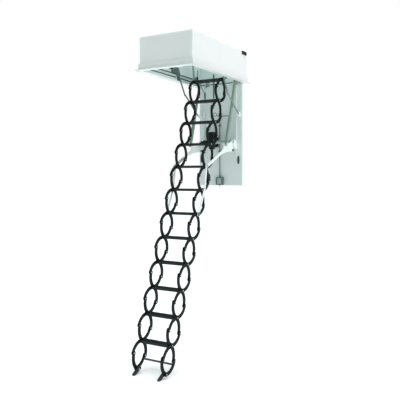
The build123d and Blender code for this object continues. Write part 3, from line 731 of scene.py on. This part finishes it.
hinge_screws = Shape()
hinge_low, hinge_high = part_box("hinge_box_plates")
for y in (-0.18, 0.18):
    for dy in (-0.017, 0.017):
        for z in (0.012, 0.038):
            cross_screw(hinge_screws, Vector((hinge_low.x, y + dy, z)), -X, 0.0045, 0.002)
hinge_screws.place("hinge_screws", "box", BRIGHT, "zinc")

# soft lips on the seals, which stop at the stay and strut plates
LIP_HEIGHTS = (0.027, 0.062)
LIP_RADIUS = 0.0035
LIP_INSET = 0.0062
lips = Shape()
for height in LIP_HEIGHTS:
    y = inner_y - LIP_INSET
    x = -inner_x + LIP_INSET
    for side in (-1, 1):
        for first, last in ((x, 0.036), (0.124, 0.436)):
            lips.swept([Vector((first, side * y, height)), Vector((last, side * y, height))], LIP_RADIUS, 12)
    lips.swept([Vector((x, -y, height)), Vector((x, y, height))], LIP_RADIUS, 12)
lips.place("seal_lips", "box", FINISHES["seal_rubber"], "seal_rubber")

# ------------------------------------------------------------------ leaf details

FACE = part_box("leaf_panel")[0].x
PAD_PLACES = ((-0.228, -0.86), (0.244, -0.835), (0.141, -1.06))
PAD_RADIUS, PAD_STRETCH = 0.0135, 3.6
pads = Shape()
for y, z in PAD_PLACES:
    pad = [(0.0, 0.0012), (0.70, 0.0014), (0.80, 0.0026), (0.90, 0.0050), (0.97, 0.0058), (1.0, 0.0)]
    outline = [(PAD_RADIUS * r, h) for r, h in pad][::-1]
    pads.turned(outline, Vector((FACE, y, z)), -X, sides=40, oval=(1.0, PAD_STRETCH))
pads.place("leaf_pads", "leaf", FINISHES["seal_rubber"], "seal_rubber")

RAIL_DEPTH, RAIL_Y = 0.016, 0.206
RAIL_SCREW_TOP, RAIL_SCREW_STEP = -0.085, 0.101
# the lever bearing covers the seventh place
RAIL_SCREW_PLACES = (0, 1, 2, 3, 4, 5, 7)
BEARING_FACE, BEARING_Y = FACE - 0.006, 0.224
STAY_EAR_FACE, STAY_EAR_Y = FACE - 0.008, 0.228
screws = Shape()
for side in (-1, 1):
    for k in RAIL_SCREW_PLACES:
        centre = Vector((FACE - RAIL_DEPTH, side * RAIL_Y, RAIL_SCREW_TOP - k * RAIL_SCREW_STEP))
        cross_screw(screws, centre, -X, 0.0042, 0.002)
    for z in (-0.748, -0.660):
        hex_bolt(screws, Vector((BEARING_FACE, side * BEARING_Y, z)), -X, 0.0052, 0.005)
    for z in (-0.338, -0.372):
        cross_screw(screws, Vector((STAY_EAR_FACE, side * STAY_EAR_Y, z)), -X, 0.0045, 0.0025)
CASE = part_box("latch_case")[0]
for y in (-0.036, 0.036):
    for z in (CASE.z + 0.010, -1.06):
        cross_screw(screws, Vector((CASE.x, y, z)), -X, 0.0042, 0.0022)
screws.place("leaf_screws", "leaf", BRIGHT, "zinc")

# a ribbed cover on the latch case
COVER_HALF, RIB_HALF = 0.026, 0.019
cover = Shape()
cover.slab((CASE.x - 0.0022, -COVER_HALF, -1.128), (CASE.x + 0.0005, COVER_HALF, -1.062), 0.0012, 3)
for z in (-1.112, -1.095, -1.078):
    cover.slab((CASE.x - 0.0036, -RIB_HALF, z - 0.0025), (CASE.x - 0.0015, RIB_HALF, z + 0.0025), 0.0012, 3)
cover.place("latch_cover", "leaf", PALE_GREY, "stay_grey")

# ------------------------------------------------------------------ drive details

MOTOR_LOW, MOTOR_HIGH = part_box("drive_motor")
DRIVE_Y = (MOTOR_LOW.y + MOTOR_HIGH.y) / 2
RIBS, RIB_TOP, RIB_STEP = 7, -0.562, 0.0125
ribs = Shape()
for k in range(RIBS):
    z = RIB_TOP - k * RIB_STEP
    ribs.slab((MOTOR_LOW.x - 0.0015, MOTOR_LOW.y + 0.0025, z - 0.0026),
              (0.4795, MOTOR_HIGH.y - 0.0025, z + 0.0026), 0.0018, 3)
for side, face in ((-1, MOTOR_LOW.y), (1, MOTOR_HIGH.y)):
    # the split line of the gearbox is a raised flange near either face
    rim = [(0.0402, 0.0), (0.0425, 0.002), (0.0425, 0.008), (0.0402, 0.010)]
    ribs.turned(rim, Vector((SHAFT.x, face - side * 0.013 - 0.005, SHAFT.z)), Y, sides=48)
ribs.slab((0.428, DRIVE_Y - 0.022, -0.7405), (0.452, DRIVE_Y + 0.022, -0.733), 0.003, 3)
ribs.place("drive_ribs", "leaf", FINISHES["drive_black"], "drive_black")

# a coupling on the shaft's left half, beside the gearbox
coupling = Shape()
barrel = [(0.0156, 0.0), (0.0265, 0.001), (0.0280, 0.004), (0.0280, 0.020), (0.0262, 0.022),
          (0.0262, 0.052), (0.0280, 0.054), (0.0280, 0.068), (0.0262, 0.070), (0.0156, 0.071)]
coupling.turned(barrel, Vector((SHAFT.x, MOTOR_HIGH.y + 0.004, SHAFT.z)), Y, sides=44, hollow=True)
coupling.place("drive_coupling", "lever_arms", FINISHES["drive_black"], "drive_black")

COVER_SCREW_CIRCLE = 0.031
cover_screws = Shape()
for face, out in ((MOTOR_LOW.y, -Y), (MOTOR_HIGH.y, Y)):
    for k in range(4):
        turn = math.radians(45 + 90 * k)
        centre = Vector((SHAFT.x + COVER_SCREW_CIRCLE * math.cos(turn), face,
                         SHAFT.z + COVER_SCREW_CIRCLE * math.sin(turn)))
        cover_screws.turned(socket_screw(0.0042, 0.0026), centre, out, sides=20)
    cover_screws.turned(washer(0.022, 0.0155, 0.003), Vector((SHAFT.x, face, SHAFT.z)), out)
for y in (MOTOR_LOW.y + 0.007, MOTOR_HIGH.y - 0.007):
    for z in (-0.598, -0.704):
        cross_screw(cover_screws, Vector((FACE - 0.006, y, z)), -X, 0.0045, 0.0025)
cover_screws.place("drive_screws", "leaf", BRIGHT, "zinc")

# a pale sleeve covers the shaft's right half
SLEEVE_START_Y = -0.197
sleeve = Shape()
pipe = [(0.0152, 0.0), (0.0180, 0.001), (0.0185, 0.004), (0.0185, 0.010), (0.0172, 0.012),
        (0.0172, 0.196), (0.0185, 0.198), (0.0185, 0.206), (0.0152, 0.208)]
sleeve.turned(pipe, Vector((SHAFT.x, SLEEVE_START_Y, SHAFT.z)), Y, sides=40, hollow=True)
sleeve.place("shaft_sleeve", "lever_arms", PALE_GREY, "stay_grey")

# black buffers on the lower corners of the lever arms
BUFFER = (0.440, 0.2042, -0.755)
buffers = Shape()
for centre, out in both(BUFFER):
    head = [(0.0105, 0.0), (0.0115, 0.002), (0.0115, 0.010), (0.0095, 0.0125), (0.0, 0.0135)]
    buffers.turned(head, centre, out)
    base = [(0.0105, 0.0), (0.0115, 0.002), (0.0110, 0.004), (0.0, 0.0045)]
    buffers.turned(base, centre - out * 0.0064, -out)
buffers.place("lever_buffers", "lever_arms", FINISHES["foot_rubber"], "foot_rubber")

# flat stop bars behind the first ring, a long one on the right and a short braced one on the left
STOP_X = 0.343
STOP_THICK = 0.006
stops = Shape()
for side, top, inset in ((-1, 0.080, 0.018), (1, -0.110, 0.088)):
    bar = [(0.328, top - 0.012), (0.338, top), (0.348, top), (0.358, top - 0.012), (0.358, -0.180),
           (0.350, -0.192), (0.336, -0.192), (0.328, -0.180)]
    y = sorted((side * inset, side * (inset + STOP_THICK)))
    stops.outline(bar, *y, edge=0.0012)
    for z in (top - 0.014, -0.176):
        centre = Vector((STOP_X, side * (inset + STOP_THICK), z))
        stops.turned(dome(0.0055, 0.003), centre, Y * side)
brace = [Vector((STOP_X, y, z)) for y, z in ((0.137, -0.030), (0.126, -0.070), (0.092, -0.130))]
stops.swept(brace, 0.004, 12)
stops.place("hanger_stops", "hanger", FINISHES["stay_grey"], "stay_grey")

# return springs and their black lugs beside the hanger arms
LUG = (0.176, 0.182)
SPRING_Y = 0.179
lugs = Shape()
for side in (-1, 1):
    y = sorted((side * LUG[0], side * LUG[1]))
    lug = [(0.318, 0.020), (0.338, 0.016), (0.346, 0.050), (0.340, 0.066), (0.328, 0.070), (0.320, 0.050)]
    lugs.outline(lug, *y, edge=0.0010)
    spring = [Vector((0.333, side * SPRING_Y, 0.060)), Vector((0.336, side * SPRING_Y, 0.140))]
    lugs.swept(spring, 0.0040, 12)
lugs.place("spring_lugs", "hanger", FINISHES["drive_black"], "drive_black")

# a seal closes the gap above the leaf's hinge edge
end_seal = Shape()
for low, high in ((-0.258, -0.216), (-0.144, 0.144), (0.216, 0.258)):
    end_seal.slab((inner_x - 0.0036, low, 0.0045), (inner_x + 0.0005, high, 0.0145), 0.0014, 3)
end_seal.place("hinge_side_seal", "box", FINISHES["seal_rubber"], "seal_rubber")

# the pull ring of the latch crank
RING_MIDDLE = Vector((0.5, 0.052, -0.347))
RING_RADIUS = 0.022
RING_STEPS = 32
ring = Shape()
turns = [2 * math.pi * k / RING_STEPS for k in range(RING_STEPS + 1)]
round_path = [RING_MIDDLE + Y * RING_RADIUS * math.cos(t) + Z * RING_RADIUS * math.sin(t) for t in turns]
ring.swept(round_path, 0.0028, 12)
ring.swept([Vector((0.522, 0.006, -0.365)), Vector((0.516, 0.016, -0.360)),
            Vector((0.503, 0.028, -0.354)), Vector((0.5, 0.033, -0.352))], 0.0035, 12)
ring.place("latch_pull_ring", "latch", FINISHES["stay_grey"], "stay_grey")

# ------------------------------------------------------------------ stage

FLOOR_Z = CAD_BOX[0].z - 0.0005
FLOOR_HALF = 60
floor_mesh = bmesh.new()
bmesh.ops.create_grid(floor_mesh, x_segments=1, y_segments=1, size=FLOOR_HALF)
floor_data = bpy.data.meshes.new("floor")
floor_mesh.to_mesh(floor_data)
floor_mesh.free()
floor = bpy.data.objects.new("floor", floor_data)
floor.location.z = FLOOR_Z
bpy.context.scene.collection.objects.link(floor)
ground = Finish("pale_floor")
speckle = ground.noise(0.4, 3.0)
floor_tone = ground.mix(speckle, (0.955, 0.915, 0.915), (0.965, 0.925, 0.925))
floor_data.materials.append(ground.done(floor_tone, 0.85, ground.relief(ground.noise(0.01, 2.0), 0.0001)))
# the floor glows a little, like a light table
ground.shader.inputs["Emission Color"].default_value = (0.95, 1.0, 1.0, 1)
ground.shader.inputs["Emission Strength"].default_value = 0.22

# the camera sees plain white past the floor, and the object gets a softer light
world = bpy.data.worlds.new("studio")
bpy.context.scene.world = world
world.use_nodes = True
sky = world.node_tree
sky.nodes.clear()
seen = sky.nodes.new("ShaderNodeBackground")
seen.inputs["Color"].default_value = (1, 1, 1, 1)
seen.inputs["Strength"].default_value = 1.0
lit = sky.nodes.new("ShaderNodeBackground")
lit.inputs["Color"].default_value = (0.80, 0.90, 0.895, 1)
lit.inputs["Strength"].default_value = 0.27
path = sky.nodes.new("ShaderNodeLightPath")
blend = sky.nodes.new("ShaderNodeMixShader")
sky_out = sky.nodes.new("ShaderNodeOutputWorld")
sky.links.new(path.outputs["Is Camera Ray"], blend.inputs[0])
sky.links.new(lit.outputs[0], blend.inputs[1])
sky.links.new(seen.outputs[0], blend.inputs[2])
sky.links.new(blend.outputs[0], sky_out.inputs[0])


def lamp(name, place, target, size, power, colour):
    """A soft rectangular lamp that looks at a target."""
    data = bpy.data.lights.new(name, "AREA")
    data.shape = "RECTANGLE"
    data.size, data.size_y = size
    data.energy = power
    data.color = colour
    obj = bpy.data.objects.new(name, data)
    obj.location = place
    obj.rotation_euler = (Vector(target) - Vector(place)).to_track_quat("-Z", "Y").to_euler()
    bpy.context.scene.collection.objects.link(obj)


lamp("key", (0.6, -6.0, 1.2), (0.1, 0, -1.0), (4.5, 4.0), 160, (1.0, 0.93, 0.94))
lamp("fill", (-5.5, 2.5, 0.5), (0, 0, -1.2), (4.0, 4.0), 6, (0.88, 0.97, 1.0))
overhead = bpy.data.lights.new("overhead", "SUN")
overhead.energy = 2.7
overhead.angle = math.radians(70)
overhead.color = (0.86, 1.0, 0.99)
overhead_lamp = bpy.data.objects.new("overhead", overhead)
bpy.context.scene.collection.objects.link(overhead_lamp)

CAMERA_PLACE = (-4.9414, -2.929, -1.0619)
CAMERA_TURN = -59.74
camera_data = bpy.data.cameras.new("camera")
camera_data.sensor_width = 36.0
camera_data.lens = 49.33
camera_data.shift_y = -0.0548
camera = bpy.data.objects.new("camera", camera_data)
camera.location = CAMERA_PLACE
camera.rotation_euler = (math.radians(90), 0, math.radians(CAMERA_TURN))
bpy.context.scene.collection.objects.link(camera)
bpy.context.scene.camera = camera
bpy.context.scene.view_settings.view_transform = "Standard"
bpy.context.scene.view_settings.look = "None"
